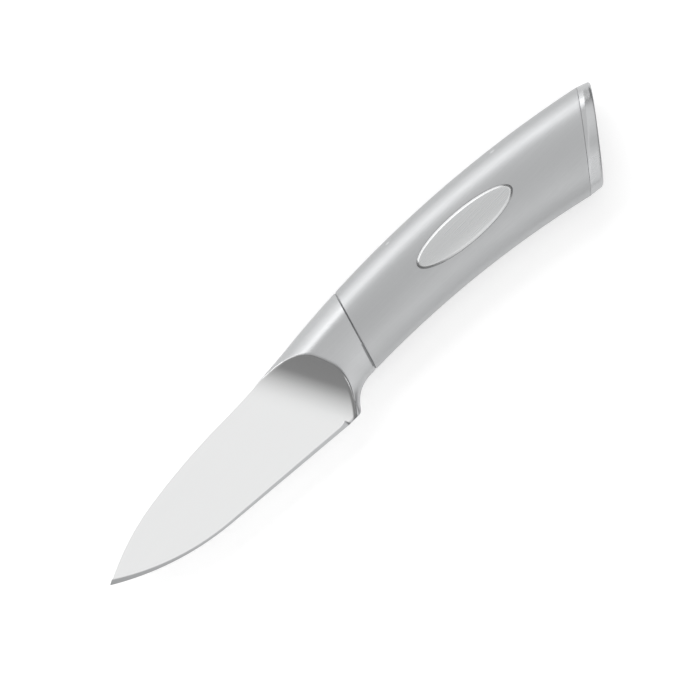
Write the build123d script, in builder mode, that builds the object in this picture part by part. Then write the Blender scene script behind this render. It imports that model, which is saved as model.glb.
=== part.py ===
from build123d import *
import os
from math import asin, cos, pi, radians, sin, sqrt, tan

# A paring knife with a hollow steel handle, lying on its side.
# X runs from the tip to the butt, Y from the edge to the spine, and Z up through the thickness.
# The origin is under the middle of the knife, on the surface that it lies on.
# Heights are measured from the axis Y = 0, a level line through the blade.

# Lengths along the knife
blade_length = 84.7          # tip to the heel of the edge
handle_length = 123.7        # heel to the rearmost point of the butt

# Blade outline
tip_height = 2.7
heel_depth = 14.0            # heel of the edge and underside of the finger guard, below the axis
edge_slope = 5.0             # degrees, rise of the straight part of the edge
edge_straight = 45.5         # straight part of the edge, measured from the heel
spine_bend_height = 11.3     # spine where it turns down to the tip
spine_bend = 26.2            # behind the tip
spine_mid_height = 13.8      # spine where the blade's gentle curve meets the rise to the handle
spine_mid = 27.0             # ahead of the heel

# Blade thickness, ground flat on both sides
spine_thickness = 1.9        # at the bolster
tip_thickness = 0.7
heel_thickness = 0.54
blank_thickness = 3.2        # forged blank, before grinding
blank_root = 1.6             # how far the blank reaches into the bolster's form
bevel_angle = 13.0           # degrees, each side of the sharpened edge
bevel_reach = 3.0            # how far the sharpening cutter reaches into the blade
edge_land = 0.04             # thickness left at the very edge

# Scoop ground into both sides of the bolster, which runs out on the blade's flank
scoop_radius = 29.0
scoop_start = 8.4            # ahead of the heel, where the scoop leaves the flank on the axis
scoop_tilt = 27.0            # degrees, the scoop's line leans forward at the spine
scoop_sweep = 60.0           # degrees of arc in the cutter

# Back and belly of the handle, two long arcs
crown_height = 17.5          # highest point of the back
crown_radius = 376.0
crown_peak = 42.5            # behind the heel
crown_join = 4.2             # behind the heel, where the back's arc meets the rise of the spine
belly_depth = 7.8            # highest point of the belly, below the axis
belly_radius = 326.0
belly_peak = 24.6            # behind the heel

# Finger guard, which curves down from the belly to the heel
guard_root = 15.3            # behind the heel, where the guard's curve leaves the belly
guard_radius = 10.8
guard_turn = 60.0            # degrees, steepest slope of the guard
guard_foot_radius = 4.2      # curve from that slope to the underside of the forged form
lip_length = 4.6             # flat underside of the guard, behind the heel
lip_radius = 1.5             # rounding of the guard's lower corner
lip_turn = 45.0              # degrees of that rounding
form_front = 11.5            # forged form starts this far ahead of the heel
form_section_count = 28      # sections of the form under the bolster and guard

# Section of the handle
bolster_thickness = 15.0     # at the front of the form
butt_thickness = 18.2        # at the butt
widest_share = 0.455         # widest point, as a share of the height below the back
upper_power = 2.4            # superellipse power of the upper quarters
belly_power = 2.1            # power of the lower quarters
grip_section_count = 7       # sections of the form along the grip

# Section of the bolster, ground to a soft ridge that lies a little below the shells
ridge_share = 0.3            # the ridge, as a share of the height below the back
ridge_power = 1.75           # superellipse power above the ridge
seam_power = 1.95            # power below the ridge, at the joint line
guard_power = 0.8            # power below the ridge at the guard, nearly a straight taper
ground_depth = 0.15          # how far the ridge is ground below the handle's thickness

# Joints between bolster, shells and cap
seam_from_heel = 19.8        # joint line on the axis
seam_tilt = 16.5             # degrees, leans back at the spine
seam_gap = 0.4               # open groove at the front joint line
cap_gap = 0.3                # open groove at the cap's joint line
butt_tilt = 37.3             # degrees, slanted end face
butt_corner_height = 7.6     # height of the rearmost point
cap_thickness = 4.2
cap_roll = 3.0               # length over which the cap's side rolls towards the end face
cap_rounding = 1.5           # how far the rolled side draws in
cap_turn_count = 4           # steps of the rolled side
stud_length = 9.0            # oval stud of the cap, held in the handle's filling
stud_height = 16.0
stud_thickness = 8.0
spigot_length = 7.0          # behind the bolster, inside the shells
spigot_root = 1.6            # how far the spigot's form reaches into the bolster

# Half shells and the weld beads between them, ground to a narrow flat along back and belly
wall = 1.0
weld_width = 1.2
bond = 0.06                  # film of adhesive or resin at each seat

# Tang, forged behind the spigot and held in the handle's filling
tang_length = 34.0
tang_height = 9.0
tang_thickness = 3.2
tang_hole_diameter = 4.0
tang_hole_pitch = 14.0
tang_hole_count = 2

# Oval badges, set from inside through the shells
badge_from_heel = 66.3
badge_height = 3.6           # centre of the badge
badge_length = 36.6
badge_width = 10.1
badge_tilt = 4.4             # degrees, follows the curve of the handle
badge_stand = 0.55           # stands proud of the shell
badge_bevel = 0.4
flange_reach = 1.1           # flange behind the shell, beyond the hole
badge_floor = 6.4            # flat inner face of the badge, from the middle plane

overrun = 10.0               # how far cutters and forms run past what they trim

# Places worked out from the sizes
tip_x = -(blade_length + handle_length) / 2
heel_x = tip_x + blade_length
butt_x = heel_x + handle_length
crown_peak_x = heel_x + crown_peak
crown_join_x = heel_x + crown_join
belly_peak_x = heel_x + belly_peak
guard_root_x = heel_x + guard_root
guard_slope_x = guard_root_x - guard_radius * sin(radians(guard_turn))
guard_foot_x = guard_slope_x - guard_foot_radius * sin(radians(guard_turn))
form_front_x = heel_x - form_front
form_rear_x = butt_x + overrun
seam_x = heel_x + seam_from_heel
butt_axis_x = butt_x - butt_corner_height * tan(radians(butt_tilt))
badge_x = heel_x + badge_from_heel
cap_axis_x = butt_axis_x - cap_thickness / cos(radians(butt_tilt))
tang_start_x = seam_x + spigot_length - spigot_root
tang_end_x = seam_x + spigot_length + tang_length

seam_plane = Plane(origin=(seam_x, 0, 0), z_dir=(cos(radians(seam_tilt)), -sin(radians(seam_tilt)), 0))
butt_plane = Plane(origin=(butt_axis_x, 0, 0), z_dir=(cos(radians(butt_tilt)), -sin(radians(butt_tilt)), 0))
cap_plane = butt_plane.offset(-cap_thickness)


def leaving_circle(start, slope, end):
    """Centre and radius of the circle that leaves start at a slope, bends upward and passes through end."""
    dx, dy = end[0] - start[0], end[1] - start[1]
    radius = (dx * dx + dy * dy) / (2 * (dy * cos(slope) - dx * sin(slope)))
    return start[0] - radius * sin(slope), start[1] + radius * cos(slope), radius


def crown_arc_y(x):
    """Back of the handle, behind the bolster."""
    return crown_height - crown_radius + sqrt(crown_radius**2 - (x - crown_peak_x) ** 2)


spine_mid_point = (heel_x - spine_mid, spine_mid_height)
rise_x, rise_y, rise_radius = leaving_circle(
    (crown_join_x, crown_arc_y(crown_join_x)),
    asin((crown_peak_x - crown_join_x) / crown_radius),
    spine_mid_point,
)


def crown_y(x):
    """Upper outline from the blade's spine over the bolster to the butt."""
    if x >= crown_join_x:
        return crown_arc_y(x)
    return rise_y - sqrt(rise_radius**2 - (x - rise_x) ** 2)


def belly_arc_y(x):
    """Belly of the grip, carried on under the guard."""
    return -belly_depth - belly_radius + sqrt(belly_radius**2 - (x - belly_peak_x) ** 2)


def belly_y(x):
    """Lower outline of the form: the belly, the guard's curve and the foot below it."""
    root_y = belly_arc_y(guard_root_x)
    foot_y = root_y - (guard_radius + guard_foot_radius) * (1 - cos(radians(guard_turn)))
    if x >= guard_root_x:
        return belly_arc_y(x)
    if x >= guard_slope_x:
        return root_y - guard_radius + sqrt(guard_radius**2 - (guard_root_x - x) ** 2)
    if x >= guard_foot_x:
        return foot_y + guard_foot_radius - sqrt(guard_foot_radius**2 - (x - guard_foot_x) ** 2)
    return foot_y


def half_thickness(x):
    """Half of the form's thickness, an even taper from the butt to the front of the form."""
    share = min((x - form_front_x) / (butt_axis_x - form_front_x), 1)
    return (bolster_thickness + (butt_thickness - bolster_thickness) * share) / 2


lie_height = max(half_thickness(butt_axis_x), half_thickness(badge_x + badge_length / 2) + badge_stand)
middle = Plane.XY.offset(lie_height)


def crown_inside_y(x):
    """Inside of the handle's wall along the back."""
    return crown_y(x) - wall


def belly_inside_y(x):
    """Inside of the handle's wall along the belly."""
    return belly_y(x) + wall


def taper_power(x):
    """Power below the bolster's ridge, which turns from round to a taper as the guard drops."""
    turn_share = min(max((guard_root_x - x) / (guard_root_x - guard_foot_x), 0), 1)
    return seam_power + (guard_power - seam_power) * (1 - cos(pi * turn_share)) / 2


def quarter(height, thickness, power, turn_share):
    """A point of a superellipse quarter, from its top (0) to its widest point (1)."""
    angle = turn_share * pi / 2
    return height * cos(angle) ** (2 / power), thickness * sin(angle) ** (2 / power)


def section_points(x, inset, ground=False):
    """One side of the form's outline at x, from the back over the widest point or ridge to the belly."""
    top_share = ridge_share if ground else widest_share
    widest_y = crown_y(x) - top_share * (crown_y(x) - belly_arc_y(x))
    above = crown_y(x) - widest_y - inset
    below = widest_y - belly_y(x) - inset
    thickness = half_thickness(x) - inset - weld_width / 2 - (ground_depth if ground else 0)
    above_power = ridge_power if ground else upper_power
    below_power = taper_power(x) if ground else belly_power
    turn_shares = (0, 0.3, 0.5, 0.7, 1)
    upper = [quarter(above, thickness, above_power, share) for share in turn_shares]
    lower = [quarter(below, thickness, below_power, share) for share in turn_shares[-2::-1]]
    flat = weld_width / 2
    return [(widest_y + y, z + flat) for y, z in upper] + [(widest_y - y, z + flat) for y, z in lower]


def across(x):
    """Plane across the knife at x, with its first axis up the handle's side and its second outward."""
    return Plane(origin=(x, 0, lie_height), x_dir=(0, 1, 0), z_dir=(1, 0, 0))


def side_curve(points, outward):
    """Curve over one side of the handle, level with the middle plane's flats at both ends."""
    return Spline(*points, tangents=((0, outward), (0, -outward)), tangent_scalars=(1, 1))


def handle_form(inset, front_x, rear_x, steps, ground=False):
    """A length of the handle, or of the ground bolster, as one body, its surface set in by a distance."""
    with BuildPart() as form:
        for step in range(steps + 1):
            x = front_x + (rear_x - front_x) * step / steps
            side = section_points(x, inset, ground)
            with BuildSketch(across(x)):
                with BuildLine():
                    left = side_curve(side, 1)
                    right = side_curve([(y, -z) for y, z in side[::-1]], -1)
                    Line(left @ 1, right @ 0)
                    Line(right @ 1, left @ 0)
                make_face()
        loft()
    return form.part


def half_shell():
    """The left half of the handle's wall, from outside to inside, past both joints."""
    with BuildPart() as shell:
        for step in range(grip_section_count + 1):
            x = guard_root_x + (form_rear_x - guard_root_x) * step / grip_section_count
            with BuildSketch(across(x)):
                with BuildLine():
                    outside = side_curve(section_points(x, 0), 1)
                    inside = side_curve(section_points(x, wall)[::-1], 1)
                    Line(outside @ 1, inside @ 0)
                    Line(inside @ 1, outside @ 0)
                make_face()
        loft()
    return shell.part


def bead(outer_y, inner_y):
    """A weld bead between the half shells, whose outside and inside follow two outlines."""
    with BuildPart() as strip:
        for step in range(grip_section_count + 1):
            x = guard_root_x + (form_rear_x - guard_root_x) * step / grip_section_count
            with BuildSketch(across(x)):
                with Locations(((outer_y(x) + inner_y(x)) / 2, 0)):
                    Rectangle(abs(outer_y(x) - inner_y(x)), weld_width)
        loft()
    return strip.part


def between(form, front_plane, rear_plane):
    """The stretch of a form between two joint planes."""
    with BuildPart() as stretch:
        add(form)
        split(bisect_by=front_plane, keep=Keep.TOP)
        split(bisect_by=rear_plane, keep=Keep.BOTTOM)
    return stretch.part


def edge_y(x):
    """Straight part of the edge, carried on past both ends."""
    return -heel_depth + (heel_x - x) * tan(radians(edge_slope))


def on_flank(x, y):
    """Point of the blade's upper flank above a place in the middle plane."""
    drop = (flank_normal.X * (x - heel_x) + flank_normal.Y * (y + heel_depth)) / flank_normal.Z
    return Vector(x, y, lie_height + heel_thickness / 2 - drop)


def scoop_cutter():
    """Everything above the blade's flank and, behind it, above the hollow ground into the bolster."""
    line = Vector(sin(radians(scoop_tilt)), -cos(radians(scoop_tilt)), 0)
    line = (line - flank_normal * line.dot(flank_normal)).normalized()
    start = on_flank(heel_x - scoop_start, 0)
    reach = -blade_length - overrun
    with BuildPart() as cutter:
        with BuildSketch(Plane(origin=start, x_dir=flank_normal.cross(line), z_dir=line)):
            with BuildLine():
                flat = Line((reach, 0), (0, 0))
                hollow = CenterArc((0, scoop_radius), scoop_radius, 270, scoop_sweep)
                Polyline(hollow @ 1, ((hollow @ 1).X, scoop_radius), (reach, scoop_radius), flat @ 0)
            make_face()
        extrude(amount=blade_length, both=True)
    return cutter.part


def bevel_cutter():
    """What sharpening takes off the lower side of the edge, from the heel to the tip."""
    slope = radians(edge_slope)
    rise = tan(radians(bevel_angle))
    with BuildPart() as cutter:
        with BuildLine(middle):
            straight = Line((heel_x, -heel_depth), (heel_x - edge_straight, edge_y(heel_x - edge_straight)))
            sweep_up = TangentArc(straight @ 1, (tip_x, tip_height), tangent=straight % 1)
            Line(sweep_up @ 1, sweep_up @ 1 + (sweep_up % 1) * bevel_reach)
        start = Plane(
            origin=(heel_x, -heel_depth, lie_height),
            x_dir=(sin(slope), cos(slope), 0),
            z_dir=(-cos(slope), sin(slope), 0),
        )
        with BuildSketch(start):
            with BuildLine():
                Polyline(
                    (-bevel_reach, edge_land / 2 - bevel_reach * rise),
                    (bevel_reach, edge_land / 2 + bevel_reach * rise),
                    (-bevel_reach, edge_land / 2 + bevel_reach * rise),
                    close=True,
                )
            make_face()
        sweep()
    return cutter.part


def cap_section(ahead, inset):
    """Outline of the form, set in by a distance, in a plane ahead of the slanted end face."""
    with BuildPart() as cut:
        add(handle_form(inset, guard_root_x, form_rear_x, grip_section_count))
        split(bisect_by=butt_plane.offset(-ahead), keep=Keep.BOTTOM)
    return cut.faces().sort_by(Axis(butt_plane.origin, butt_plane.z_dir))[-1]


def oval(grow, floor):
    """Badge-shaped prism outward from a floor above the middle plane, larger all round by a distance."""
    with BuildPart() as prism:
        with BuildSketch(badge_plane.offset(floor)):
            Ellipse(badge_length / 2 + grow, badge_width / 2 + grow)
        extrude(amount=butt_thickness)
    return prism.part


def cap_stud(grow):
    """Oval stud on the cap's inner side, larger all round by a distance."""
    with BuildPart() as stud:
        with BuildSketch(stud_plane.offset(-cap_gap)):
            Ellipse(stud_height / 2 + grow, stud_thickness / 2 + grow)
        extrude(amount=stud_length + cap_gap + grow)
    return stud.part


def tang(grow):
    """The tang, larger all round by a distance, with its holes smaller by the same."""
    with BuildPart() as bar:
        with BuildSketch(middle):
            with Locations(((tang_start_x + tang_end_x) / 2, tang_y)):
                Rectangle(tang_end_x - tang_start_x + 2 * grow, tang_height + 2 * grow)
            with Locations((tang_end_x - tang_length / 2, tang_y)):
                with GridLocations(tang_hole_pitch, 0, tang_hole_count, 1):
                    Circle(tang_hole_diameter / 2 - grow, mode=Mode.SUBTRACT)
        extrude(amount=tang_thickness / 2 + grow, both=True)
    return bar.part


# Forms shared by the pieces, each the handle's surface set in by a distance
bolster_form = handle_form(0, form_front_x, seam_x + overrun, form_section_count, ground=True)
seat_form = handle_form(wall + bond, guard_root_x, form_rear_x, grip_section_count)
badge_form = handle_form(-badge_stand, guard_root_x, form_rear_x, grip_section_count)

# Planes and places shared by the pieces
root_x = form_front_x + blank_root
tang_y = (crown_arc_y(seam_x) + belly_arc_y(seam_x)) / 2
stud_y = (crown_arc_y(cap_axis_x) + belly_arc_y(cap_axis_x)) / 2
stud_plane = Plane(
    origin=(cap_axis_x + stud_y * tan(radians(butt_tilt)), stud_y, lie_height),
    x_dir=(sin(radians(butt_tilt)), cos(radians(butt_tilt)), 0),
    z_dir=-butt_plane.z_dir,
)
badge_plane = Plane(
    origin=(badge_x, badge_height, lie_height),
    x_dir=(cos(radians(badge_tilt)), -sin(radians(badge_tilt)), 0),
)
heel_point = Vector(heel_x, -heel_depth, heel_thickness / 2)
tip_point = Vector(tip_x, tip_height, tip_thickness / 2)
spine_point = Vector(form_front_x, crown_y(form_front_x), spine_thickness / 2)
flank_normal = (spine_point - heel_point).cross(tip_point - heel_point).normalized()

# Forged blade with its bolster, finger guard, spigot and tang
with BuildPart() as forged_blade:
    add(bolster_form)
    split(bisect_by=seam_plane, keep=Keep.BOTTOM)
    with BuildSketch(middle):
        with BuildLine():
            edge_run = Line((form_front_x - overrun, edge_y(form_front_x - overrun)), (heel_x, -heel_depth))
            lip = Line(edge_run @ 1, (heel_x + lip_length, -heel_depth))
            corner = CenterArc((heel_x + lip_length, lip_radius - heel_depth), lip_radius, 270, lip_turn)
            clear = Line(corner @ 1, corner @ 1 + (corner % 1) * lip_radius)
            Polyline(
                clear @ 1,
                (seam_x + overrun, (clear @ 1).Y),
                (seam_x + overrun, -heel_depth - overrun),
                (form_front_x - overrun, -heel_depth - overrun),
                edge_run @ 0,
            )
        make_face()
    extrude(amount=bolster_thickness, both=True, mode=Mode.SUBTRACT)
    with BuildSketch(middle):
        with BuildLine():
            root = Line((root_x, edge_y(root_x)), (root_x, crown_y(root_x)))
            away = ((root @ 1).Y - rise_y, rise_x - root_x)
            rise = TangentArc(root @ 1, spine_mid_point, tangent=away)
            back = TangentArc(rise @ 1, (tip_x + spine_bend, spine_bend_height), tangent=rise % 1)
            TangentArc(back @ 1, (tip_x, tip_height), tangent=back % 1)
            straight = Line(root @ 0, (heel_x - edge_straight, edge_y(heel_x - edge_straight)))
            TangentArc(straight @ 1, (tip_x, tip_height), tangent=straight % 1)
        make_face()
    extrude(amount=blank_thickness / 2, both=True)
    add(scoop_cutter(), mode=Mode.SUBTRACT)
    add(scoop_cutter().mirror(middle), mode=Mode.SUBTRACT)
    add(bevel_cutter(), mode=Mode.SUBTRACT)
    add(bevel_cutter().mirror(middle), mode=Mode.SUBTRACT)
    add(between(seat_form, seam_plane.offset(-spigot_root), seam_plane.offset(spigot_length)))
    add(tang(0))
forged_blade.part.label = "forged_blade"

# Pressed half shells of the handle, with the holes for the badges
with BuildPart() as handle_shell_left:
    add(between(half_shell(), seam_plane.offset(seam_gap), cap_plane.offset(-cap_gap / 2)))
    add(oval(bond, 0), mode=Mode.SUBTRACT)
handle_shell_left.part.label = "handle_shell_left"

with BuildPart() as handle_shell_right:
    add(handle_shell_left.part.mirror(middle))
handle_shell_right.part.label = "handle_shell_right"

# Weld beads between the shells, ground flush
with BuildPart() as spine_weld:
    add(between(bead(crown_y, crown_inside_y), seam_plane.offset(seam_gap), cap_plane.offset(-cap_gap / 2)))
spine_weld.part.label = "spine_weld"

with BuildPart() as belly_weld:
    add(between(bead(belly_y, belly_inside_y), seam_plane.offset(seam_gap), cap_plane.offset(-cap_gap / 2)))
belly_weld.part.label = "belly_weld"

# Oval badges, each with a flange behind the shell
with BuildPart() as flange:
    add(oval(flange_reach, badge_floor))
    add(seat_form, mode=Mode.INTERSECT)

with BuildPart() as badge_left:
    add(oval(0, badge_floor))
    add(badge_form, mode=Mode.INTERSECT)
    chamfer(badge_left.faces().sort_by(Axis.Z)[-1].edges(), badge_bevel)
    add(flange.part)
badge_left.part.label = "badge_left"

with BuildPart() as badge_right:
    add(badge_left.part.mirror(middle))
badge_right.part.label = "badge_right"

# Butt cap with a stud inside the shells
with BuildPart() as butt_cap:
    cap_sections = [cap_section(cap_thickness - cap_gap / 2, 0)]
    for turn in range(cap_turn_count + 1):
        angle = turn / cap_turn_count * pi / 2
        cap_sections.append(cap_section(cap_roll * (1 - sin(angle)), cap_rounding * (1 - cos(angle))))
    loft(sections=cap_sections)
    add(cap_stud(0))
butt_cap.part.label = "butt_cap"

# Cast filling, which holds the tang, the badges and the cap
with BuildPart() as handle_filling:
    add(between(seat_form, seam_plane.offset(spigot_length + bond), cap_plane.offset(-cap_gap / 2)))
    add(tang(bond), mode=Mode.SUBTRACT)
    add(cap_stud(bond), mode=Mode.SUBTRACT)
    add(oval(flange_reach + bond, badge_floor - bond), mode=Mode.SUBTRACT)
    add(oval(flange_reach + bond, badge_floor - bond).mirror(middle), mode=Mode.SUBTRACT)
handle_filling.part.label = "handle_filling"

os.makedirs("parts", exist_ok=True)
pieces = (
    forged_blade,
    handle_shell_left,
    handle_shell_right,
    spine_weld,
    belly_weld,
    badge_left,
    badge_right,
    butt_cap,
    handle_filling,
)
for piece in pieces:
    export_step(piece.part, f"parts/{piece.part.label}.step")
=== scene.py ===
from math import asin, cos, pi, radians, sin, tan

import bmesh
import bpy
import numpy as np
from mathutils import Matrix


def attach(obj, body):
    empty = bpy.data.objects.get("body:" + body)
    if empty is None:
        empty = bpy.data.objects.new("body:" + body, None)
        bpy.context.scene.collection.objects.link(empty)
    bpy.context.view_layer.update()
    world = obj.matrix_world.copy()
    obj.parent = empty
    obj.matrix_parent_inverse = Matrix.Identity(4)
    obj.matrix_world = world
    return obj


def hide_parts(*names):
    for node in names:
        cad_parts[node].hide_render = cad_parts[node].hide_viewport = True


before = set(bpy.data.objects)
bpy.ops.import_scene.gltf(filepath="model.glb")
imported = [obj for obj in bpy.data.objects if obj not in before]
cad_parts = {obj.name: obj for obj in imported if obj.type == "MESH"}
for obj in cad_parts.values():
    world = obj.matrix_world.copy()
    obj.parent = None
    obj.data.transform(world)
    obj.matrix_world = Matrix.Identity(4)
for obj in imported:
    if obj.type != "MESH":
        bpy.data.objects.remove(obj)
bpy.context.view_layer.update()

# Sizes of the knife in millimetres and degrees, as its source names them
blade_length = 84.7
handle_length = 123.7
tip_height = 2.7
heel_depth = 14.0
edge_slope = 5.0
edge_straight = 45.5
spine_bend_height = 11.3
spine_bend = 26.2
spine_mid_height = 13.8
spine_mid = 27.0
spine_thickness = 1.9
tip_thickness = 0.7
heel_thickness = 0.54
bevel_angle = 13.0
edge_land = 0.04
scoop_radius = 29.0
scoop_start = 8.4
scoop_tilt = 27.0
crown_height = 17.5
crown_radius = 376.0
crown_peak = 42.5
crown_join = 4.2
belly_depth = 7.8
belly_radius = 326.0
belly_peak = 24.6
guard_root = 15.3
guard_radius = 10.8
guard_turn = 60.0
guard_foot_radius = 4.2
lip_length = 4.6
lip_radius = 1.5
lip_turn = 45.0
form_front = 11.5
bolster_thickness = 15.0
butt_thickness = 18.2
widest_share = 0.455
upper_power = 2.4
belly_power = 2.1
ridge_share = 0.3
ridge_power = 1.75
seam_power = 1.95
guard_power = 0.8
ground_depth = 0.15
seam_from_heel = 19.8
seam_tilt = 16.5
seam_gap = 0.4
cap_gap = 0.3
butt_tilt = 37.3
butt_corner_height = 7.6
cap_thickness = 4.2
stud_length = 9.0
stud_height = 16.0
stud_thickness = 8.0
spigot_length = 7.0
spigot_root = 1.6
wall = 1.0
weld_width = 1.2
bond = 0.06
tang_length = 34.0
tang_height = 9.0
tang_thickness = 3.2
badge_from_heel = 66.3
badge_height = 3.6
badge_length = 36.6
badge_width = 10.1
badge_tilt = 4.4
badge_stand = 0.55
badge_bevel = 0.4
flange_reach = 1.1
badge_floor = 6.4
lie_height = 9.2385

# Finer forms that only the looks need, in millimetres
crest_softness = 0.22        # the polished crest between the scoop and the bolster
crest_ramp = 4.0             # that crest grows to its full softness over this length
crest_lead = 0.7             # share of the softness by which the satin reaches over the crest
scoop_lead = 0.9             # the polished scoop runs out this much further ahead on the flank
wall_top_x = -10.3           # foot of the scoop's inner wall, at wall_top_y
wall_top_y = 1.6
wall_bow = 0.032             # how fast that foot bows forward towards the heel
wall_radius = 1.5            # hollow of that wall
wall_curved = 0.9            # share of the hollow that is drawn round
wall_slope = 2.0             # and the slope that carries on from it
wall_fade = 4.0              # the wall grows to its full height over this length
taper_ease = 0.5             # share of the guard's taper that its outside leaves to that wall
bevel_run_out = 0.4          # how fast the sharpened bevel runs out under the guard
bevel_softness = 0.02        # corner between the bevel and the flank
bevel_blend = 0.03           # width over which the finish changes there
lip_softness = 0.3           # corner between the guard's lip and the belly
satin_strip = 0.6            # satin strip along the guard's underside, blended over this width
satin_reach = 1.5            # in strip widths, where that blend ends
seam_shade_overlap = 0.3           # painted shade: a dull grey sheet in the front joint runs on this much past both faces of the joint
seam_shade_inset = 0.3             # that sheet of painted shade, in the epoxy's grey, lies this far below the shells along the back and belly
seam_shade_sunk = 0.5              # and this much deeper across
spine_break = 0.22           # broken edges of the blade's spine
guard_break = 0.25           # rounded edges of the guard's underside
guard_break_start = 1.5      # those edges grow to their full size over this length
rim_radius = 0.08            # rolled rims at the joint lines
cap_close = 0.12             # the cap's joint face stands this much nearer to the shells
cap_rim = 0.1                # rolled rim of the cap at its joint line
cap_slope = 14.0             # degrees, facet on the cap's side
cap_facet = 2.8              # width of that facet along the upper half
cap_facet_growth = 0.08      # how fast it widens towards the belly
cap_facet_turn = 2.0         # height from which down it widens
cap_facet_blend = 0.02       # square of the softness of the facet's line
cap_corner = 1.0             # rounded corners of the cap's outline
cap_side_corner = 0.35       # rounded corner between its side and its end face
cap_draw = 0.14              # how fast its outline draws in
badge_joint = 0.1            # open joint round the badge
badge_roll = 0.75            # width of the badge's bevel
badge_curve = 0.65           # the badge's face is this much of the handle's curve across
badge_dome = 0.16            # and domed by this much

# Places along the knife worked out from those sizes
tip_x = -(blade_length + handle_length) / 2
heel_x = tip_x + blade_length
butt_x = heel_x + handle_length
crown_peak_x = heel_x + crown_peak
crown_join_x = heel_x + crown_join
belly_peak_x = heel_x + belly_peak
guard_root_x = heel_x + guard_root
guard_slope_x = guard_root_x - guard_radius * sin(radians(guard_turn))
guard_foot_x = guard_slope_x - guard_foot_radius * sin(radians(guard_turn))
form_front_x = heel_x - form_front
seam_x = heel_x + seam_from_heel
butt_axis_x = butt_x - butt_corner_height * tan(radians(butt_tilt))
badge_x = heel_x + badge_from_heel
cap_axis_x = butt_axis_x - cap_thickness / cos(radians(butt_tilt))
seam_slant = tan(radians(seam_tilt))
butt_slant = tan(radians(butt_tilt))
flat = weld_width / 2


# Outlines of the knife, seen from above


def arc_from(start, direction, end):
    """Circle that leaves start in a direction and passes through end.
    The radius is the chord squared over twice the chord's reach along the normal; returns centre, radius, arrival."""
    start, end = np.array(start), np.array(end)
    direction = np.array(direction) / np.hypot(*direction)
    normal = np.array((-direction[1], direction[0]))
    chord = end - start
    radius = chord @ chord / (2 * chord @ normal)
    centre = start + radius * normal
    spoke = (end - centre) / radius
    return centre, abs(radius), np.array((-spoke[1], spoke[0]))


def arc_height(x, centre, radius, side):
    """Height of a circle's upper (1) or lower (-1) side at x: the centre's height plus or minus the root of r squared
    less dx squared."""
    return centre[1] + side * np.sqrt(np.maximum(radius**2 - (x - centre[0]) ** 2, 0))


def crown_arc(x):
    """Back of the handle: one long arc."""
    return crown_height - crown_radius + np.sqrt(crown_radius**2 - (x - crown_peak_x) ** 2)


crown_slope = asin((crown_peak_x - crown_join_x) / crown_radius)
rise = arc_from(
    (crown_join_x, crown_arc(crown_join_x)),
    (-cos(crown_slope), -sin(crown_slope)),
    (heel_x - spine_mid, spine_mid_height),
)
back = arc_from((heel_x - spine_mid, spine_mid_height), rise[2], (tip_x + spine_bend, spine_bend_height))
nose = arc_from((tip_x + spine_bend, spine_bend_height), back[2], (tip_x, tip_height))
edge_turn_x = heel_x - edge_straight
edge_turn_y = -heel_depth + edge_straight * tan(radians(edge_slope))
edge_direction = (-cos(radians(edge_slope)), sin(radians(edge_slope)))
sweep = arc_from((edge_turn_x, edge_turn_y), edge_direction, (tip_x, tip_height))


def crown(x):
    """Upper outline: nose arc, back arc, the hollow rise to the handle, and the handle's back."""
    return np.select(
        (x >= crown_join_x, x >= heel_x - spine_mid, x >= tip_x + spine_bend),
        (crown_arc(x), arc_height(x, *rise[:2], -1), arc_height(x, *back[:2], 1)),
        arc_height(x, *nose[:2], 1),
    )


def belly_arc(x):
    """Belly of the grip: one long arc, carried on under the guard."""
    return -belly_depth - belly_radius + np.sqrt(belly_radius**2 - (x - belly_peak_x) ** 2)


root_y = belly_arc(guard_root_x)
foot_y = root_y - (guard_radius + guard_foot_radius) * (1 - cos(radians(guard_turn)))


def belly(x):
    """Lower outline of the forged form: belly arc, guard arc, foot arc and the flat foot."""
    guard = root_y - guard_radius + np.sqrt(np.maximum(guard_radius**2 - (guard_root_x - x) ** 2, 0))
    foot = foot_y + guard_foot_radius - np.sqrt(np.maximum(guard_foot_radius**2 - (x - guard_foot_x) ** 2, 0))
    return np.select(
        (x >= guard_root_x, x >= guard_slope_x, x >= guard_foot_x), (belly_arc(x), guard, foot), foot_y
    )


def soft_least(a, b, softness):
    """The lesser of two heights with a rounded corner: half of a + b - sqrt((a - b) squared + softness squared)."""
    return (a + b - np.sqrt((a - b) ** 2 + softness**2)) / 2


def lower_outline(x):
    """Underside of blade and guard: the edge's arc and line, the guard's flat lip, its rounded corner, the belly."""
    lip_end = heel_x + lip_length
    corner_x = lip_end + lip_radius * sin(radians(lip_turn))
    corner = lip_radius - np.sqrt(np.maximum(lip_radius**2 - np.clip(x - lip_end, 0, lip_radius) ** 2, 0))
    corner_rise = lip_radius * (1 - cos(radians(lip_turn)))
    ramp = corner_rise + np.clip(x - corner_x, 0, lip_radius * cos(radians(lip_turn))) * tan(radians(lip_turn))
    lip = -heel_depth + np.where(x > corner_x, ramp, corner)
    guard = -soft_least(-belly(x), -lip, lip_softness)
    line = -heel_depth + (heel_x - x) * tan(radians(edge_slope))
    under = np.where(x > lip_end, guard, -heel_depth)
    return np.select((x >= heel_x, x >= edge_turn_x), (under, line), arc_height(x, *sweep[:2], -1))


# Surface of the bolster and handle


def half_thickness(x):
    """Half of the form's thickness: an even taper from the butt to the front of the form."""
    share = np.clip((x - form_front_x) / (butt_axis_x - form_front_x), None, 1)
    return (bolster_thickness + (butt_thickness - bolster_thickness) * share) / 2


def taper_power(x):
    """Power below the bolster's ridge, which turns by half a cosine wave from round to a taper as the guard drops."""
    turned = np.clip((guard_root_x - x) / (guard_root_x - guard_foot_x), 0, 1)
    return seam_power + (guard_power - seam_power) * (1 - np.cos(pi * turned)) / 2


def widest(x, share=widest_share):
    """Height of the handle's widest line or the bolster's ridge, a fixed share of the height below the back."""
    return crown(x) - share * (crown(x) - belly_arc(x))


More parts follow.
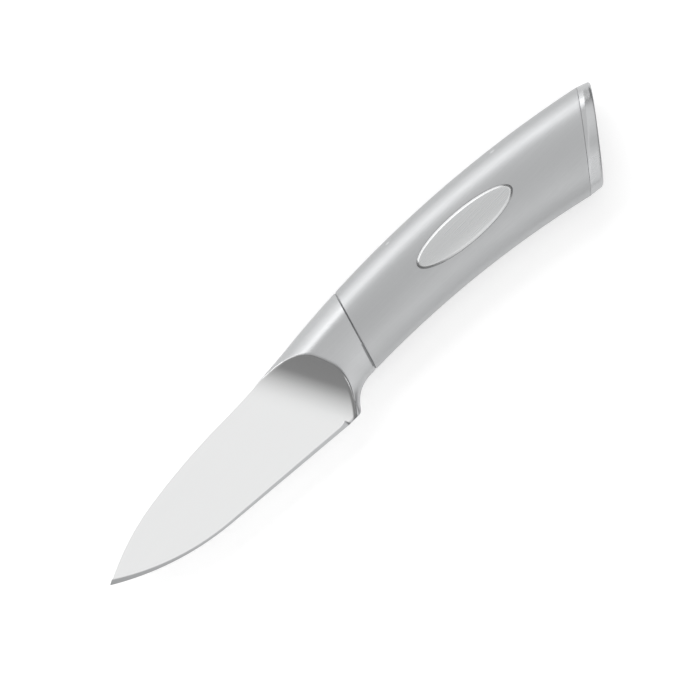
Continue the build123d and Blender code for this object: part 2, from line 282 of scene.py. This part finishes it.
def side(x, turn, inset=0.0, thinner=0.0):
    """Point of the handle's side at x, set in by a distance, for a turn of 0 at the back, 0.5, and 1 at the belly.
    Superellipse quarters: height goes with cos to 2/power and thickness with sin to 2/power of the angle turn * pi.
    A further distance may thin it across alone."""
    above = turn <= 0.5
    angle = np.where(above, turn, 1 - turn) * pi
    power = np.where(above, upper_power, belly_power)
    middle = widest(x)
    reach = np.where(above, crown(x) - middle, belly(x) - middle)
    reach = reach - np.sign(reach) * inset
    y = middle + reach * np.cos(angle) ** (2 / power)
    return y, flat + (half_thickness(x) - inset - thinner - flat) * np.sin(angle) ** (2 / power)


def side_height(x, y, inset=0.0):
    """The same surface as a height over x and y: thickness times (1 - u to the power) to 1/power."""
    middle = widest(x)
    above = y >= middle
    reach = np.where(above, crown(x) - middle, middle - belly(x)) - inset
    share = np.clip(np.abs(y - middle) / reach, 0, 1)
    power = np.where(above, upper_power, belly_power)
    return flat + (half_thickness(x) - inset - flat) * (1 - share**power) ** (1 / power)


def bolster_height(x, y, inset):
    """Height of the ground bolster over x and y: the same formula about its ridge, with its own powers."""
    middle = widest(x, ridge_share)
    above = y >= middle
    reach = np.where(above, crown(x) - middle, middle - belly(x)) - inset
    share = np.clip(np.abs(y - middle) / reach, 0, 1)
    power = np.where(above, ridge_power, taper_power(x) * (1 - taper_ease) + seam_power * taper_ease)
    return flat + (half_thickness(x) - ground_depth - inset - flat) * (1 - share**power) ** (1 / power)


# Meshes


def quads(index):
    """Faces of a grid of vertex numbers, each from four neighbours."""
    return np.stack((index[:-1, :-1], index[1:, :-1], index[1:, 1:], index[:-1, 1:]), -1).reshape(-1, 4)


def ringed(rings):
    """Closed form through rings of points: a band of faces from each ring to the next, and a fan at both ends."""
    count, around = rings.shape[:2]
    index = np.arange(count * around).reshape(count, around)
    index = np.concatenate((index, index[:, :1]), 1)
    points = np.concatenate((rings.reshape(-1, 3), rings[[0, -1]].mean(1)))
    ends = [
        np.stack((index[row, :-1], index[row, 1:], np.full(around, pole)), -1)
        for row, pole in ((0, count * around), (-1, count * around + 1))
    ]
    return points, quads(index).tolist() + ends[0].tolist() + ends[1].tolist()


def mirrored_slab(x, y, z, mask):
    """Closed form between a height z over a grid of x and y, and its mirror image below the middle plane, with a mask
    of where its second finish lies."""
    upper, lower = np.stack((x, y, z), -1), np.stack((x, y, -z), -1)
    index = np.arange(x.size).reshape(x.shape)
    under = index + x.size
    walls = [
        quads(np.stack((index[:, 0], under[:, 0]))),
        quads(np.stack((index[:, -1], under[:, -1]))),
        quads(np.stack((index[0], under[0]))),
        quads(np.stack((index[-1], under[-1]))),
    ]
    faces = np.concatenate([quads(index), quads(under)] + walls)
    return np.concatenate((upper.reshape(-1, 3), lower.reshape(-1, 3))), faces.tolist(), np.tile(mask.ravel(), 2)


def piece(name, forms, material, node, seam_shade_film=None, sharp=35.0):
    """Makes a closed smooth piece from forms in millimetres about the middle plane, in place of a node. A second
    material, where there is one, covers the forms after the first, among them a dull sheet of painted shade."""
    points, faces, masks, first = [], [], [], 0
    bare = len(forms[0][1])
    for form_points, form_faces, *mask in forms:
        points.append(form_points)
        faces += [[corner + first for corner in face] for face in form_faces]
        masks.append(mask[0] if mask else np.zeros(len(form_points)))
        first += len(form_points)
    points = (np.concatenate(points) + (0, 0, lie_height)) / 1000
    mesh = bpy.data.meshes.new(name)
    mesh.from_pydata(points.tolist(), [], faces)
    satin = mesh.attributes.new("bolster", "FLOAT", "POINT")
    satin.data.foreach_set("value", np.concatenate(masks).astype(np.float32))
    if seam_shade_film:
        mesh.polygons.foreach_set("material_index", np.repeat((0, 1), (bare, len(faces) - bare)).astype(np.int32))
    merged = bmesh.new()
    merged.from_mesh(mesh)
    bmesh.ops.remove_doubles(merged, verts=merged.verts, dist=2e-6)
    bmesh.ops.dissolve_degenerate(merged, edges=merged.edges, dist=1e-6)
    bmesh.ops.recalc_face_normals(merged, faces=merged.faces)
    merged.to_mesh(mesh)
    merged.free()
    mesh.shade_smooth()
    mesh.set_sharp_from_angle(angle=radians(sharp))
    mesh.materials.append(material)
    if seam_shade_film:
        mesh.materials.append(seam_shade_film)
    made = bpy.data.objects.new(name, mesh)
    bpy.context.scene.collection.objects.link(made)
    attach(made, "root")
    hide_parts(node)
    return made


# Finishes


def colour(code):
    """Linear colour from an sRGB hex value."""
    share = np.array([int(code[place:place + 2], 16) / 255 for place in (1, 3, 5)])
    linear = np.where(share <= 0.04045, share / 12.92, ((share + 0.055) / 1.055) ** 2.4)
    return (*linear.tolist(), 1.0)


def add(tree, kind, settings=None, inputs=None):
    """Adds a node with its settings; each input is a value or the socket that feeds it."""
    made = tree.nodes.new(kind)
    for key, value in (settings or {}).items():
        setattr(made, key, value)
    for key, value in (inputs or {}).items():
        if isinstance(value, bpy.types.NodeSocket):
            tree.links.new(value, made.inputs[key])
        else:
            made.inputs[key].default_value = value
    return made


def worked(tree, place, finish):
    """Colour, roughness and height of a worked steel surface: long fine marks of a given length and spacing in
    millimetres, turned in degrees, and slow changes of gloss. Real grinding and brushing marks lie closer together, too
    fine to show, so they are drawn as coarse as this."""
    tint, dull, length, spacing, turn, depth, rough, spread = finish
    marks = add(tree, "ShaderNodeMapping", {}, {
        "Vector": place, "Rotation": (0, 0, radians(turn)), "Scale": (1000 / length, 1000 / spacing, 1000 / spacing),
    })
    fine = add(tree, "ShaderNodeTexNoise", {}, {
        "Vector": marks.outputs["Vector"], "Scale": 1.0, "Detail": 3.0, "Roughness": 0.6,
    })
    cloud = add(tree, "ShaderNodeTexNoise", {}, {"Vector": place, "Scale": 70.0, "Detail": 2.0})
    gloss = add(tree, "ShaderNodeMath", {"operation": "MULTIPLY_ADD"}, {
        0: cloud.outputs["Fac"], 1: spread, 2: rough - spread,
    })
    scuffed = add(tree, "ShaderNodeMath", {"operation": "MULTIPLY_ADD"}, {
        0: fine.outputs["Fac"], 1: spread, 2: gloss.outputs[0],
    })
    streaks = add(tree, "ShaderNodeMix", {"data_type": "RGBA"}, {
        "Factor": fine.outputs["Fac"], "A": colour(tint), "B": colour(dull),
    })
    height = add(tree, "ShaderNodeMath", {"operation": "MULTIPLY"}, {0: fine.outputs["Fac"], 1: depth / 1000})
    return streaks.outputs["Result"], scuffed.outputs[0], height.outputs[0]


def steel(name, finish, bolster_finish=None, wear=0.3):
    """Worked steel; a second finish covers the bolster where its mask says so. Its sharpest edges are rubbed brighter,
    so faintly that few pixels show it."""
    material = bpy.data.materials.new(name)
    material.use_nodes = True
    tree = material.node_tree
    tree.nodes.clear()
    place = add(tree, "ShaderNodeTexCoord").outputs["Object"]
    tint, rough, height = worked(tree, place, finish)
    if bolster_finish:
        second = worked(tree, place, bolster_finish)
        mask = add(tree, "ShaderNodeAttribute", {"attribute_name": "bolster"}).outputs["Fac"]
        tint = add(tree, "ShaderNodeMix", {"data_type": "RGBA"}, {
            "Factor": mask, "A": tint, "B": second[0],
        }).outputs["Result"]
        rough, height = (
            add(tree, "ShaderNodeMix", {"data_type": "FLOAT"}, {"Factor": mask, "A": a, "B": b}).outputs["Result"]
            for a, b in ((rough, second[1]), (height, second[2]))
        )
    edges = add(tree, "ShaderNodeNewGeometry").outputs["Pointiness"]
    rubbed = add(tree, "ShaderNodeMapRange", {}, {
        "Value": edges, "From Min": 0.6, "From Max": 0.72, "To Min": 0.0, "To Max": wear,
    })
    tinted = add(tree, "ShaderNodeMix", {"data_type": "RGBA"}, {
        "Factor": rubbed.outputs["Result"], "A": tint, "B": colour("#f4f5f5"),
    })
    bump = add(tree, "ShaderNodeBump", {}, {"Strength": 1.0, "Distance": 1.0, "Height": height})
    surface = add(tree, "ShaderNodeBsdfPrincipled", {}, {
        "Base Color": tinted.outputs["Result"], "Metallic": 1.0, "Roughness": rough, "Normal": bump.outputs["Normal"],
    })
    add(tree, "ShaderNodeOutputMaterial", {}, {"Surface": surface.outputs["BSDF"]})
    return material


# Forged stainless steel, finely ground along the blade and polished: a bright even face with faint streaks.
# Its bolster is satin polished along the grip: greyer, with a soft highlight.
blade_steel = steel(
    "forged_steel_polished",
    ("#f6f6f6", "#f1f2f2", 30, 0.35, 0, 0.0002, 0.13, 0.03),
    ("#bcbdbe", "#b4b5b6", 22, 0.32, 0, 0.0008, 0.37, 0.04),
)
# Pressed stainless steel with a fine satin brushed along the grip: broad soft highlights and a grey body
handle_steel = steel("pressed_steel_satin", ("#b6b7b8", "#aeafb0", 22, 0.32, 0, 0.001, 0.4, 0.05))
# The same steel on the cap, brushed across the end
cap_steel = steel("cap_steel_satin", ("#bcbdbe", "#b2b3b4", 14, 0.32, 0, 0.001, 0.28, 0.05))
# Polished plate of the badges: tighter reflections than the satin round it
badge_steel = steel("badge_steel_polished", ("#cbcccc", "#c3c4c5", 18, 0.3, 0, 0.0004, 0.27, 0.04))
# Weld beads ground flush along the back and belly: short marks across the strip
weld_steel = steel("weld_steel_ground", ("#b6b7b8", "#a6a7a8", 3, 0.25, 90, 0.001, 0.34, 0.06))


def cast_resin_and_seam_shade():
    """Grey epoxy cast in the handle: dull, with a faint cloudiness and fine filler grains."""
    material = bpy.data.materials.new("cast_epoxy_and_seam_shade")
    material.use_nodes = True
    tree = material.node_tree
    tree.nodes.clear()
    place = add(tree, "ShaderNodeTexCoord").outputs["Object"]
    grains = add(tree, "ShaderNodeTexNoise", {}, {"Vector": place, "Scale": 1400.0, "Detail": 2.0})
    cloud = add(tree, "ShaderNodeTexNoise", {}, {"Vector": place, "Scale": 90.0, "Detail": 3.0})
    tint = add(tree, "ShaderNodeMix", {"data_type": "RGBA"}, {
        "Factor": cloud.outputs["Fac"], "A": colour("#8a8b8c"), "B": colour("#9a9b9c"),
    })
    bump = add(tree, "ShaderNodeBump", {}, {
        "Strength": 0.6, "Distance": 0.00004, "Height": grains.outputs["Fac"],
    })
    gloss = add(tree, "ShaderNodeMapRange", {}, {"Value": grains.outputs["Fac"], "To Min": 0.5, "To Max": 0.7})
    surface = add(tree, "ShaderNodeBsdfPrincipled", {}, {
        "Base Color": tint.outputs["Result"], "Roughness": gloss.outputs["Result"],
        "IOR": 1.55, "Normal": bump.outputs["Normal"],
    })
    add(tree, "ShaderNodeOutputMaterial", {}, {"Surface": surface.outputs["BSDF"]})
    return material


# The cast epoxy's grey also paints the shade in the front joint's groove, on a sheet laid there.
resin_and_seam_shade = cast_resin_and_seam_shade()

# Forged blade with its scooped bolster, guard, spigot and tang. The spigot and tang, which the handle hides, and the
# dull sheet of painted shade in the front joint's groove wear the cast epoxy's material.


def forging_grid():
    """Grid over the blade and bolster. Columns run from the tip to the joint line and lean over to its slant behind
    the heel; rows run from the lower to the upper outline, closer together near both. Returns x, y, inset."""
    roll = np.linspace(0, pi / 2, 6)
    base = np.concatenate((
        tip_x + (heel_x - 0.03 - tip_x) * np.linspace(0, 1, 170) ** 1.12,
        np.linspace(heel_x + 0.03, seam_x - rim_radius, 112),
        seam_x - rim_radius + rim_radius * np.sin(roll[1:]),
    ))
    inset = np.concatenate((np.zeros(len(base) - 5), rim_radius * (1 - np.cos(roll[1:]))))
    lean = np.clip((base - heel_x) / (seam_x - 2 - heel_x), 0, 1)
    lean = lean * lean * (3 - 2 * lean) * seam_slant
    across = (1 - np.cos(pi * np.linspace(0, 1, 101))) / 2
    base, inset, lean, across = base[:, None], inset[:, None], lean[:, None], across[None, :]
    y = np.zeros((len(base), across.size))
    for _ in range(12):
        x = base + lean * y
        low, high = lower_outline(x) + inset, crown(x) - inset
        y = low + (high - low) * across
    return base + lean * y, y, inset


def forging_height(x, y, inset):
    """Half thickness of the forging at x and y: the bolster's form, cut by the flat flank and the scoop, and by the
    sharpened bevel. The scoop is a circle's rise from its start line, with a tighter one along the guard's inner wall.
    The bevel grows with the distance from the edge and runs out under the guard.
    Also a mask of the satin parts, the bolster's outside and the bevel."""
    corners = np.array((
        (heel_x, -heel_depth, heel_thickness / 2),
        (tip_x, tip_height, tip_thickness / 2),
        (form_front_x, float(crown(np.array(form_front_x))), spine_thickness / 2),
    ))
    plane = np.linalg.solve(np.column_stack((corners[:, :2], np.ones(3))), corners[:, 2])
    flank = plane[0] * x + plane[1] * y + plane[2]
    along = (x - heel_x + scoop_start + scoop_lead) * cos(radians(scoop_tilt)) + y * sin(radians(scoop_tilt))
    scoop = scoop_radius - np.sqrt(scoop_radius**2 - np.clip(along, 0, scoop_radius * 0.99) ** 2)
    below = np.maximum(wall_top_y - y, 0)
    into = (x - wall_top_x + wall_bow * below**2) / np.sqrt(1 + (2 * wall_bow * below) ** 2)
    curved = np.clip(into, 0, wall_curved * wall_radius)
    straight = np.maximum(into - wall_curved * wall_radius, 0)
    wall_rise = wall_radius - np.sqrt(wall_radius**2 - curved**2) + straight * wall_slope
    scoop = scoop + wall_rise * np.clip(below / wall_fade, 0, 1)
    ramp = np.clip((x - form_front_x) / (heel_x - form_front_x), 0, 1)
    spine_wall = spine_thickness / 2 + (flat - spine_thickness / 2) * ramp
    form = np.maximum(bolster_height(np.maximum(x, form_front_x), y, inset), spine_wall)
    form = np.where(x < form_front_x, bolster_thickness, form)
    softness = crest_softness * np.clip((x - form_front_x) / crest_ramp, 0, 1)
    height = soft_least(form, flank + scoop, softness)
    mask = np.clip((flank + scoop - form) / crest_softness + crest_lead, 0, 1)
    strip = np.clip(satin_reach - (y - lower_outline(x)) / satin_strip, 0, 1)
    mask = np.maximum(mask, strip * (x >= heel_x))
    line = (y + heel_depth - (heel_x - x) * tan(radians(edge_slope))) * cos(radians(edge_slope))
    bend = sweep[1] - np.hypot(x - sweep[0][0], y - sweep[0][1])
    from_edge = np.maximum(np.where(x > edge_turn_x, line, bend), 0)
    run_out = np.maximum(x - heel_x, 0) * bevel_run_out
    bevel = edge_land / 2 + from_edge * tan(radians(bevel_angle)) + run_out
    mask = np.maximum(mask, np.clip((height - bevel) / bevel_blend + 0.5, 0, 1))
    height = soft_least(height, bevel, bevel_softness)
    return np.maximum(height, edge_land / 2), mask


def broken_edge(height, distance, radius):
    """Rounds an outline's corner: near it the height drops by r - sqrt(r squared - (r - distance) squared)."""
    near = np.clip(radius - distance, 0, radius)
    return height - (radius - np.sqrt(np.maximum(radius**2 - near**2, 0)))


def forged_piece():
    """The forging, its spigot as the handle's form set in by the wall, and its tang as a bar with rounded corners."""
    x, y, inset = forging_grid()
    height, mask = forging_height(x, y, inset)
    height = broken_edge(height, crown(x) - inset - y, spine_break)
    guard = np.where(x >= heel_x, guard_break, 0.0) * np.clip((x - heel_x) / guard_break_start, 0, 1)
    height = broken_edge(height, y - lower_outline(x) - inset, guard)
    body = mirrored_slab(x, y, np.maximum(height, edge_land / 2), mask)
    spigot = ringed(loops(
        np.linspace(seam_x - spigot_root, seam_x + spigot_length, 12), seam_slant, wall + bond, 48
    ))
    start, end = seam_x + spigot_length - spigot_root, seam_x + spigot_length + tang_length
    tang_y = float(crown_arc(seam_x) + belly_arc(seam_x)) / 2
    angle = np.linspace(0, 2 * pi, 40, endpoint=False)
    bar_y = tang_y + tang_height / 2 * np.sign(np.cos(angle)) * np.abs(np.cos(angle)) ** 0.25
    bar_z = tang_thickness / 2 * np.sign(np.sin(angle)) * np.abs(np.sin(angle)) ** 0.25
    stations = np.linspace(start, end, 10)[:, None]
    bar = np.stack(np.broadcast_arrays(stations, bar_y[None], bar_z[None]), -1)
    # A dull sheet in the epoxy's grey, laid in the front joint, paints the shade of its groove.
    seam_shade_base = np.linspace(seam_x - seam_shade_overlap, seam_x + seam_gap + seam_shade_overlap, 3)
    seam_shade_film = ringed(loops(seam_shade_base, seam_slant, seam_shade_inset, 90, seam_shade_sunk))
    return piece(
        "forged_blade_dressed", [body, spigot, ringed(bar), seam_shade_film], blade_steel, "forged_blade", resin_and_seam_shade
    )


# Handle


def loops(base, slant, inset, half_count, thinner=0.0):
    """Closed rings round the handle's section in slanted planes, x = base + slant * y, each set in by a distance."""
    slant, inset, base = (
        np.broadcast_to(np.asarray(value, float), base.shape)[:, None] for value in (slant, inset, base)
    )
    turn = np.linspace(0, 1, half_count)[None, :]
    y = np.zeros((len(base), half_count))
    for _ in range(12):
        y, z = side(base + slant * y, turn, inset, thinner)
    half = np.stack((base + slant * y, y, z), -1)
    return np.concatenate((half, half[:, ::-1] * (1, 1, -1)), 1)


def shell_lines():
    """Stations along the grip between its two slanted joint planes, with the rims rolled in.
    Returns base, slant, inset."""
    front = seam_x + seam_gap / cos(radians(seam_tilt))
    rear = cap_axis_x - cap_gap / 2 / cos(radians(butt_tilt))
    roll = np.linspace(0, pi / 2, 5)
    base = np.concatenate((
        front + rim_radius * (1 - np.cos(roll[:-1])),
        np.linspace(front + rim_radius, rear - rim_radius, 180),
        rear - rim_radius * (1 - np.sin(roll[1:])),
    ))
    inset = np.concatenate((rim_radius * (1 - np.sin(roll[:-1])), np.zeros(180), rim_radius * (1 - np.cos(roll[1:]))))
    slant = seam_slant + (butt_slant - seam_slant) * (base - front) / (rear - front)
    return base, slant, inset


hole_long = badge_length / 2 + badge_joint
hole_short = badge_width / 2 + badge_joint


def badge_place(x, y):
    """Coordinates along and across the badge, from its centre."""
    turned_x, turned_y = cos(radians(badge_tilt)), -sin(radians(badge_tilt))
    dx, dy = x - badge_x, y - badge_height
    return dx * turned_x + dy * turned_y, -dx * turned_y + dy * turned_x


def badge_point(along, across):
    """The same in reverse."""
    turned_x, turned_y = cos(radians(badge_tilt)), -sin(radians(badge_tilt))
    return badge_x + along * turned_x - across * turned_y, badge_height + along * turned_y + across * turned_x


def hole_window(grid):
    """Rows and columns of a grid that frame the badge's hole."""
    along, across = badge_place(grid[..., 0], grid[..., 1])
    inside = np.argwhere((along / hole_long) ** 2 + (across / hole_short) ** 2 < 1)
    return inside.min(0) - 4, inside.max(0) + 4


def pierced(grid, window, inset, first):
    """Faces and new points for a shell surface with the badge's oval hole: the grid's faces outside a window, and
    rings that run evenly from the oval to the window's edge, at the surface's own height."""
    rows, columns = grid.shape[:2]
    (low_row, low_column), (high_row, high_column) = window
    index = first + np.arange(rows * columns).reshape(rows, columns)
    frame_index = np.concatenate((
        index[low_row, low_column:high_column],
        index[low_row:high_row, high_column],
        index[high_row, high_column:low_column:-1],
        index[high_row:low_row:-1, low_column],
    ))
    flat_grid = grid.reshape(-1, 3)
    edge = flat_grid[frame_index - first]
    edge_along, edge_across = badge_place(edge[:, 0], edge[:, 1])
    angle = np.arctan2(edge_across / hole_short, edge_along / hole_long)
    oval = np.stack(badge_point(hole_long * np.cos(angle), hole_short * np.sin(angle)), -1)
    share = (np.linspace(0, 1, 12) ** 1.8)[:-1, None, None]
    plan = oval * (1 - share) + edge[None, :, :2] * share
    height = side_height(plan[..., 0], plan[..., 1], inset)
    ring_points = np.concatenate((plan, height[..., None]), -1)
    start = first + rows * columns
    ring_index = start + np.arange(ring_points.shape[0] * len(edge)).reshape(-1, len(edge))
    ring_index = np.concatenate((ring_index, frame_index[None]))
    closed = np.concatenate((ring_index, ring_index[:, :1]), 1)
    keep = np.ones((rows - 1, columns - 1), bool)
    keep[low_row:high_row, low_column:high_column] = False
    faces = np.concatenate((quads(index)[keep.ravel()], quads(closed)))
    return np.concatenate((flat_grid, ring_points.reshape(-1, 3))), faces, index, closed[0]


def shell_form():
    """The left half shell: outside and inside surfaces of the wall, pierced for the badge, joined along every rim."""
    base, slant, inset = shell_lines()
    turn = np.linspace(0, 1, 90)[None, :]
    surfaces = []
    for extra in (0.0, wall):
        depth = (np.maximum(inset, extra) if extra else inset)[:, None]
        y = np.zeros((len(base), turn.size))
        for _ in range(12):
            y, z = side(base[:, None] + slant[:, None] * y, turn, depth)
        surfaces.append(np.stack((base[:, None] + slant[:, None] * y, y, z), -1))
    window = hole_window(surfaces[0])
    outer, outer_faces, outer_index, outer_hole = pierced(surfaces[0], window, 0.0, 0)
    inner, inner_faces, inner_index, inner_hole = pierced(surfaces[1], window, wall, len(outer))
    rims = [
        quads(np.stack((outer_index[0], inner_index[0]))),
        quads(np.stack((outer_index[-1], inner_index[-1]))),
        quads(np.stack((outer_index[:, 0], inner_index[:, 0]))),
        quads(np.stack((outer_index[:, -1], inner_index[:, -1]))),
        quads(np.stack((outer_hole, inner_hole))),
    ]
    faces = np.concatenate([outer_faces, inner_faces] + rims)
    return np.concatenate((outer, inner)), faces.tolist()


def badge_form():
    """The left badge as rings of ovals: its face stands proud of the handle's surface and is bevelled at its rim. Its
    side runs down through the hole and ends in the flange behind the wall."""
    angle = np.linspace(0, 2 * pi, 180, endpoint=False)
    roll = np.linspace(0, 1, 9)
    rows = [(share, -badge_roll, 0.0, -badge_stand) for share in np.linspace(0.03, 1, 26)]
    rows += [(1.0, -badge_roll * (1 - part), badge_bevel * part**1.3, -badge_stand) for part in roll[1:]]
    rows += [(1.0, 0.0, 0.0, 0.1), (1.0, 0.0, 0.0, wall + bond), (1.0, flange_reach, 0.0, wall + bond)]
    rings = []
    for share, grow, drop, inset in rows:
        x, y = badge_point(
            share * (badge_length / 2 + grow) * np.cos(angle), share * (badge_width / 2 + grow) * np.sin(angle)
        )
        level_y = badge_height + (y - badge_height) * (badge_curve if inset < 0 else 1)
        sunk = badge_dome * ((share * (1 + grow / badge_width * 2)) ** 2 if inset < 0 else 0)
        rings.append(np.stack((x, y, side_height(x, level_y, inset) - drop - sunk), -1))
    floor = rings[-1].copy()
    floor[:, 2] = badge_floor
    return ringed(np.stack(rings + [floor]))


def cap_form():
    """The cap: an oval stud, the joint's face, a side that carries on the shells, a facet that slopes in from a line
    which runs across it at an angle, a rounded corner and the slanted end face."""
    half_count = 90
    joint = cap_thickness + cap_close
    rim = np.linspace(0, pi / 2, 5)[:-1]
    ahead = np.concatenate((
        joint - cap_rim * (1 - np.cos(rim)),
        np.linspace(joint - cap_rim, cap_corner, 34)[:-1],
        cap_corner * (1 - np.sin(np.linspace(0, pi / 2, 12))),
    ))
    into_corner = np.clip(cap_corner - ahead, 0, cap_corner)
    inset = cap_corner - np.sqrt(cap_corner**2 - into_corner**2)
    inset = inset + (joint - ahead) * cap_draw
    inset[:len(rim)] = cap_rim * (1 - np.sin(rim))
    into_side = np.clip(cap_side_corner - ahead, 0, cap_side_corner)
    tight = cap_side_corner - np.sqrt(cap_side_corner**2 - into_side**2)
    base = butt_axis_x - ahead / cos(radians(butt_tilt))
    height = loops(base[:1], butt_slant, 0.0, half_count)[0, :half_count, 1]
    facet = cap_facet + cap_facet_growth * np.maximum(cap_facet_turn - height, 0)
    past = facet[None, :] - ahead[:, None]
    slope = (past + np.sqrt(past**2 + cap_facet_blend)) / 2 * tan(radians(cap_slope))
    slope = slope + (tight - np.where(ahead < joint - cap_rim, inset, 0))[:, None]
    outside = loops(base, butt_slant, inset, half_count, slope)
    stud_y = float(crown_arc(cap_axis_x) + belly_arc(cap_axis_x)) / 2
    centre = np.array((cap_axis_x + stud_y * butt_slant, stud_y, 0.0))
    up = np.array((sin(radians(butt_tilt)), cos(radians(butt_tilt)), 0.0))
    inward = np.array((-cos(radians(butt_tilt)), sin(radians(butt_tilt)), 0.0))
    angle = np.linspace(0, 2 * pi, 2 * half_count, endpoint=False)
    oval = stud_height / 2 * np.cos(angle)[:, None] * up + stud_thickness / 2 * np.sin(angle)[:, None] * (0, 0, 1)
    stud = [centre + inward * reach + oval for reach in (stud_length, -cap_gap / 2)]
    end_centre = outside[-1].mean(0)
    face = [end_centre + (outside[-1] - end_centre) * share for share in (0.9, 0.6, 0.3, 0.05)]
    return ringed(np.stack(stud + list(outside) + face))


def weld_form(outline, sign):
    """A weld bead: a flat strip along an outline, its corners just broken, as deep as the shells' wall."""
    base, slant, _ = shell_lines()
    corner = 0.05
    profile = np.array((
        (0, -flat + corner), (0, 0), (0, flat - corner), (-corner, flat),
        (-wall, flat), (-wall, -flat), (-corner, -flat),
    ))
    y = np.zeros((len(base), len(profile)))
    for _ in range(12):
        y = outline(base[:, None] + slant[:, None] * y) + sign * profile[None, :, 0]
    z = np.broadcast_to(profile[None, :, 1], y.shape)
    return ringed(np.stack((base[:, None] + slant[:, None] * y, y, z), -1))


def turned_over(form):
    """The same form on the right-hand side: every height changes sign."""
    return form[0] * (1, 1, -1), form[1]


forged_piece()
left_shell, left_badge = shell_form(), badge_form()
piece("handle_shell_left_dressed", [left_shell], handle_steel, "handle_shell_left")
piece("handle_shell_right_dressed", [turned_over(left_shell)], handle_steel, "handle_shell_right")
piece("badge_left_dressed", [left_badge], badge_steel, "badge_left")
piece("badge_right_dressed", [turned_over(left_badge)], badge_steel, "badge_right")
piece("butt_cap_dressed", [cap_form()], cap_steel, "butt_cap")
piece("spine_weld_dressed", [weld_form(crown, 1)], weld_steel, "spine_weld")
piece("belly_weld_dressed", [weld_form(belly, -1)], weld_steel, "belly_weld")

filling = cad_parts["handle_filling"]
filling.data.materials.clear()
filling.data.materials.append(resin_and_seam_shade)

# Floor and studio


def floor_paint():
    """Matt white paint on a smooth floor. Seen directly or in the steel it is lifted to the white of studio paper, and
    it keeps the knife's shadow."""
    material = bpy.data.materials.new("floor_paint_matt")
    material.use_nodes = True
    tree = material.node_tree
    tree.nodes.clear()
    path = add(tree, "ShaderNodeLightPath")
    seen = add(tree, "ShaderNodeMath", {"operation": "MAXIMUM"}, {
        0: path.outputs["Is Camera Ray"], 1: path.outputs["Is Glossy Ray"],
    })
    seen = add(tree, "ShaderNodeMath", {"operation": "MAXIMUM"}, {
        0: seen.outputs[0], 1: path.outputs["Is Transmission Ray"],
    })
    lift = add(tree, "ShaderNodeMath", {"operation": "MULTIPLY"}, {0: seen.outputs[0], 1: 0.42})
    glow = add(tree, "ShaderNodeEmission", {}, {"Color": colour("#ffffff"), "Strength": lift.outputs[0]})
    paint = add(tree, "ShaderNodeBsdfDiffuse", {}, {"Color": colour("#e6e6e6")})
    both = add(tree, "ShaderNodeAddShader")
    tree.links.new(paint.outputs[0], both.inputs[0])
    tree.links.new(glow.outputs[0], both.inputs[1])
    add(tree, "ShaderNodeOutputMaterial", {}, {"Surface": both.outputs[0]})
    return material


floor_reach = 8.0
floor_mesh = bpy.data.meshes.new("floor")
floor_corners = [(-1, -1, 0), (1, -1, 0), (1, 1, 0), (-1, 1, 0)]
floor_mesh.from_pydata((np.array(floor_corners) * floor_reach).tolist(), [], [(0, 1, 2, 3)])
floor_mesh.materials.append(floor_paint())
floor = bpy.data.objects.new("floor", floor_mesh)
bpy.context.scene.collection.objects.link(floor)
floor.location = (0, 0, -0.00005)


def soft_box(name, bearing, start, stop, reach, length, level, shift=0.0):
    """A soft box that shines at the knife from a bearing in degrees and covers a range of angles off the vertical,
    shifted along the knife. Its level is where 1 is white: its power is level * area * pi."""
    off, half = radians((start + stop) / 2), radians((stop - start) / 2)
    light = bpy.data.lights.new(name, "AREA")
    light.shape = "RECTANGLE"
    light.size, light.size_y = length, 2 * reach * tan(half)
    light.energy = level * light.size * light.size_y * pi
    made = bpy.data.objects.new(name, light)
    bpy.context.scene.collection.objects.link(made)
    turn = radians(bearing)
    made.location = (reach * sin(off) * cos(turn) + shift, reach * sin(off) * sin(turn), reach * cos(off))
    made.rotation_euler = (off, 0, turn + pi / 2)
    made.visible_camera = False
    return made


soft_box("soft_box_back", 90, 37, 58, 1.7, 2.4, 2.35)
soft_box("panel_top", 90, 8, 28, 1.5, 2.0, 0.14)
soft_box("panel_back", 90, 58, 88, 2.0, 2.8, 1.3)
soft_box("panel_edge_top", -90, 12, 32, 1.5, 1.1, 0.4, 0.2)
soft_box("panel_edge_high", -90, 32, 58, 1.6, 1.1, 1.1, 0.2)
soft_box("panel_edge_low", -90, 58, 86, 1.7, 1.1, 1.0, 0.2)
soft_box("panel_butt", 0, 20, 48, 1.8, 1.2, 0.6)

world = bpy.data.worlds.new("studio")
bpy.context.scene.world = world
world.use_nodes = True
tree = world.node_tree
tree.nodes.clear()
direction = add(tree, "ShaderNodeTexCoord").outputs["Generated"]
upward = add(tree, "ShaderNodeSeparateXYZ", {}, {"Vector": direction}).outputs["Z"]
ramp = add(tree, "ShaderNodeValToRGB", {}, {"Fac": upward})
steps = ((0.0, 0.22), (0.62, 0.24), (0.74, 0.42), (0.84, 0.62), (0.95, 0.83), (1.0, 0.9))
for place, level in steps[1:-1]:
    ramp.color_ramp.elements.new(place)
for stop, (place, level) in zip(ramp.color_ramp.elements, steps):
    stop.position = place
    stop.color = (level, level, level, 1)
sky = add(tree, "ShaderNodeBackground", {}, {"Color": ramp.outputs["Color"], "Strength": 1.0})
add(tree, "ShaderNodeOutputWorld", {}, {"Surface": sky.outputs["Background"]})

# Camera straight above, turned by an eighth, as in the photograph
camera_data = bpy.data.cameras.new("camera")
camera_data.lens = 200
camera_data.sensor_width = 36
camera_data.clip_end = 50
camera = bpy.data.objects.new("camera", camera_data)
bpy.context.scene.collection.objects.link(camera)
camera.location = (-0.00335, 0.00173, lie_height / 1000 + 0.21 * 200 / 36)
camera.rotation_euler = (0, 0, radians(-45))
bpy.context.scene.camera = camera
bpy.context.scene.view_settings.view_transform = "Standard"
